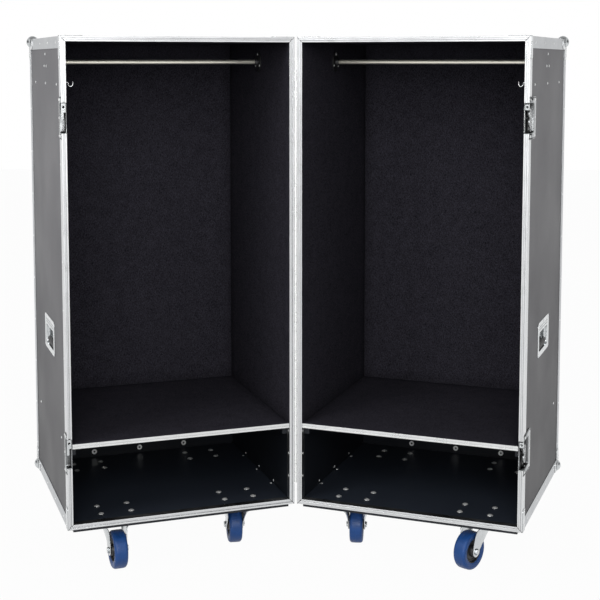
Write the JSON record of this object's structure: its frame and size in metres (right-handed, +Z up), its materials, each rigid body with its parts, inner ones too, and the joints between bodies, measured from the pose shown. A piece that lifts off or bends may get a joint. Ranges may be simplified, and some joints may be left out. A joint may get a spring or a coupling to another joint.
{
  "type": "wardrobe road case",
  "caption": "Tall two-part road case that opens like a book, with hanging rails, shelves, recessed handles, twist latches and swivel castors.",
  "frame": {"origin": "middle of the footprint of the open case, on the floor under the castors", "axes": "+X to the right and +Y to the rear as seen from the open front, +Z up"},
  "size_m": [1.548, 0.7418, 1.3965],
  "materials": {
    "grey_laminate": "satin dark grey laminate on plywood",
    "black_laminate": "satin black laminate on plywood",
    "aluminium": "satin mill finish",
    "zinc_steel": "bright zinc plate",
    "nickel_steel": "warm nickel plate",
    "charcoal_carpet": "ribbed needle carpet",
    "black_grip": "matt black moulded grip on a steel bail",
    "blue_tyre": "blue elastic rubber"
  },
  "bodies": {
    "left_half": {"left_outer_side_panel": "grey_laminate", "left_hinge_side_panel": "grey_laminate", "left_back_panel": "grey_laminate", "left_top_panel": "grey_laminate", "left_floor_panel": "black_laminate", "left_castor_board": "black_laminate", "left_closing_frame": "aluminium", "left_edge_angles": "aluminium", "left_corner_fittings": "zinc_steel", "left_lining": "charcoal_carpet", "left_shelf": "black_laminate", "left_shelf_trim": "aluminium", "left_hanging_rail": "nickel_steel", "left_coat_hooks": "zinc_steel", "left_handle_dish": "zinc_steel", "left_hinge_leaf": "zinc_steel", "left_castor_plates": "zinc_steel", "left_fixings": "zinc_steel", "left_keeper_dishes": "zinc_steel"},
    "right_half": {"right_outer_side_panel": "grey_laminate", "right_hinge_side_panel": "grey_laminate", "right_back_panel": "grey_laminate", "right_top_panel": "grey_laminate", "right_floor_panel": "black_laminate", "right_castor_board": "black_laminate", "right_closing_frame": "aluminium", "right_edge_angles": "aluminium", "right_corner_fittings": "zinc_steel", "right_lining": "charcoal_carpet", "right_shelf": "black_laminate", "right_shelf_trim": "aluminium", "right_hanging_rail": "nickel_steel", "right_coat_hooks": "zinc_steel", "right_handle_dish": "zinc_steel", "right_hinge_leaf": "zinc_steel", "right_castor_plates": "zinc_steel", "right_fixings": "zinc_steel", "right_latch_dishes": "zinc_steel"},
    "left_handle_bail": {"left_handle_bail": "black_grip"},
    "right_handle_bail": {"right_handle_bail": "black_grip"},
    "lower_latch": {"lower_latch_wing": "zinc_steel", "lower_latch_hook": "zinc_steel"},
    "upper_latch": {"upper_latch_wing": "zinc_steel", "upper_latch_hook": "zinc_steel"},
    "left_front_outer_fork": {"left_front_outer_fork": "zinc_steel"},
    "left_front_outer_wheel": {"left_front_outer_wheel": "blue_tyre"},
    "left_front_hinge_fork": {"left_front_hinge_fork": "zinc_steel"},
    "left_front_hinge_wheel": {"left_front_hinge_wheel": "blue_tyre"},
    "left_rear_outer_fork": {"left_rear_outer_fork": "zinc_steel"},
    "left_rear_outer_wheel": {"left_rear_outer_wheel": "blue_tyre"},
    "left_rear_hinge_fork": {"left_rear_hinge_fork": "zinc_steel"},
    "left_rear_hinge_wheel": {"left_rear_hinge_wheel": "blue_tyre"},
    "right_front_outer_fork": {"right_front_outer_fork": "zinc_steel"},
    "right_front_outer_wheel": {"right_front_outer_wheel": "blue_tyre"},
    "right_front_hinge_fork": {"right_front_hinge_fork": "zinc_steel"},
    "right_front_hinge_wheel": {"right_front_hinge_wheel": "blue_tyre"},
    "right_rear_outer_fork": {"right_rear_outer_fork": "zinc_steel"},
    "right_rear_outer_wheel": {"right_rear_outer_wheel": "blue_tyre"},
    "right_rear_hinge_fork": {"right_rear_hinge_fork": "zinc_steel"},
    "right_rear_hinge_wheel": {"right_rear_hinge_wheel": "blue_tyre"}
  },
  "joints": [
    {"name": "case_hinge", "type": "hinge", "parent": "left_half", "child": "right_half", "pos_m": [0, -0.16147, 0.762], "axis": [0, 0, 1], "range_deg": [-140, 36]},
    {"name": "left_handle_lift", "type": "hinge", "parent": "left_half", "child": "left_handle_bail", "pos_m": [-0.65876, -0.11679, 0.6], "axis": [-0.342, 0.9397, 0], "range_deg": [0, 90], "stiffness_Nm_per_rad": 0.25, "springref_deg": -20.05},
    {"name": "right_handle_lift", "type": "hinge", "parent": "right_half", "child": "right_handle_bail", "pos_m": [0.65876, -0.11679, 0.6], "axis": [-0.342, -0.9397, 0], "range_deg": [0, 90], "stiffness_Nm_per_rad": 0.25, "springref_deg": -20.05},
    {"name": "lower_latch_turn", "type": "hinge", "parent": "right_half", "child": "lower_latch", "pos_m": [0.57318, -0.34242, 0.335], "axis": [-0.9397, 0.342, 0], "range_deg": [0, 90]},
    {"name": "upper_latch_turn", "type": "hinge", "parent": "right_half", "child": "upper_latch", "pos_m": [0.57318, -0.34242, 1.185], "axis": [-0.9397, 0.342, 0], "range_deg": [0, 90]},
    {"name": "left_front_outer_swivel", "type": "hinge", "parent": "left_half", "child": "left_front_outer_fork", "pos_m": [-0.48023, -0.23378, 0.1117], "axis": [0, 0, 1], "continuous": true},
    {"name": "left_front_outer_spin", "type": "hinge", "parent": "left_front_outer_fork", "child": "left_front_outer_wheel", "pos_m": [-0.46599, -0.26901, 0.05], "axis": [0.9272, 0.3746, 0], "continuous": true},
    {"name": "left_front_hinge_swivel", "type": "hinge", "parent": "left_half", "child": "left_front_hinge_fork", "pos_m": [-0.16449, -0.11886, 0.1117], "axis": [0, 0, 1], "continuous": true},
    {"name": "left_front_hinge_spin", "type": "hinge", "parent": "left_front_hinge_fork", "child": "left_front_hinge_wheel", "pos_m": [-0.17174, -0.08156, 0.05], "axis": [-0.9816, -0.1908, 0], "continuous": true},
    {"name": "left_rear_outer_swivel", "type": "hinge", "parent": "left_half", "child": "left_rear_outer_fork", "pos_m": [-0.60746, 0.11578, 0.1117], "axis": [0, 0, 1], "continuous": true},
    {"name": "left_rear_outer_spin", "type": "hinge", "parent": "left_rear_outer_fork", "child": "left_rear_outer_wheel", "pos_m": [-0.58846, 0.14869, 0.05], "axis": [-0.866, 0.5, 0], "continuous": true},
    {"name": "left_rear_hinge_swivel", "type": "hinge", "parent": "left_half", "child": "left_rear_hinge_fork", "pos_m": [-0.29173, 0.2307, 0.1117], "axis": [0, 0, 1], "continuous": true},
    {"name": "left_rear_hinge_spin", "type": "hinge", "parent": "left_rear_hinge_fork", "child": "left_rear_hinge_wheel", "pos_m": [-0.30472, 0.26641, 0.05], "axis": [-0.9397, -0.342, 0], "continuous": true},
    {"name": "right_front_outer_swivel", "type": "hinge", "parent": "right_half", "child": "right_front_outer_fork", "pos_m": [0.48023, -0.23378, 0.1117], "axis": [0, 0, 1], "continuous": true},
    {"name": "right_front_outer_spin", "type": "hinge", "parent": "right_front_outer_fork", "child": "right_front_outer_wheel", "pos_m": [0.4553, -0.26246, 0.05], "axis": [0.7547, -0.6561, 0], "continuous": true},
    {"name": "right_front_hinge_swivel", "type": "hinge", "parent": "right_half", "child": "right_front_hinge_fork", "pos_m": [0.16449, -0.11886, 0.1117], "axis": [0, 0, 1], "continuous": true},
    {"name": "right_front_hinge_spin", "type": "hinge", "parent": "right_front_hinge_fork", "child": "right_front_hinge_wheel", "pos_m": [0.16781, -0.08101, 0.05], "axis": [-0.9962, 0.0872, 0], "continuous": true},
    {"name": "right_rear_outer_swivel", "type": "hinge", "parent": "right_half", "child": "right_rear_outer_fork", "pos_m": [0.60746, 0.11578, 0.1117], "axis": [0, 0, 1], "continuous": true},
    {"name": "right_rear_outer_spin", "type": "hinge", "parent": "right_rear_outer_fork", "child": "right_rear_outer_wheel", "pos_m": [0.58304, 0.14489, 0.05], "axis": [-0.766, -0.6428, 0], "continuous": true},
    {"name": "right_rear_hinge_swivel", "type": "hinge", "parent": "right_half", "child": "right_rear_hinge_fork", "pos_m": [0.29173, 0.2307, 0.1117], "axis": [0, 0, 1], "continuous": true},
    {"name": "right_rear_hinge_spin", "type": "hinge", "parent": "right_rear_hinge_fork", "child": "right_rear_hinge_wheel", "pos_m": [0.30156, 0.26741, 0.05], "axis": [-0.9659, 0.2588, 0], "continuous": true}
  ]
}
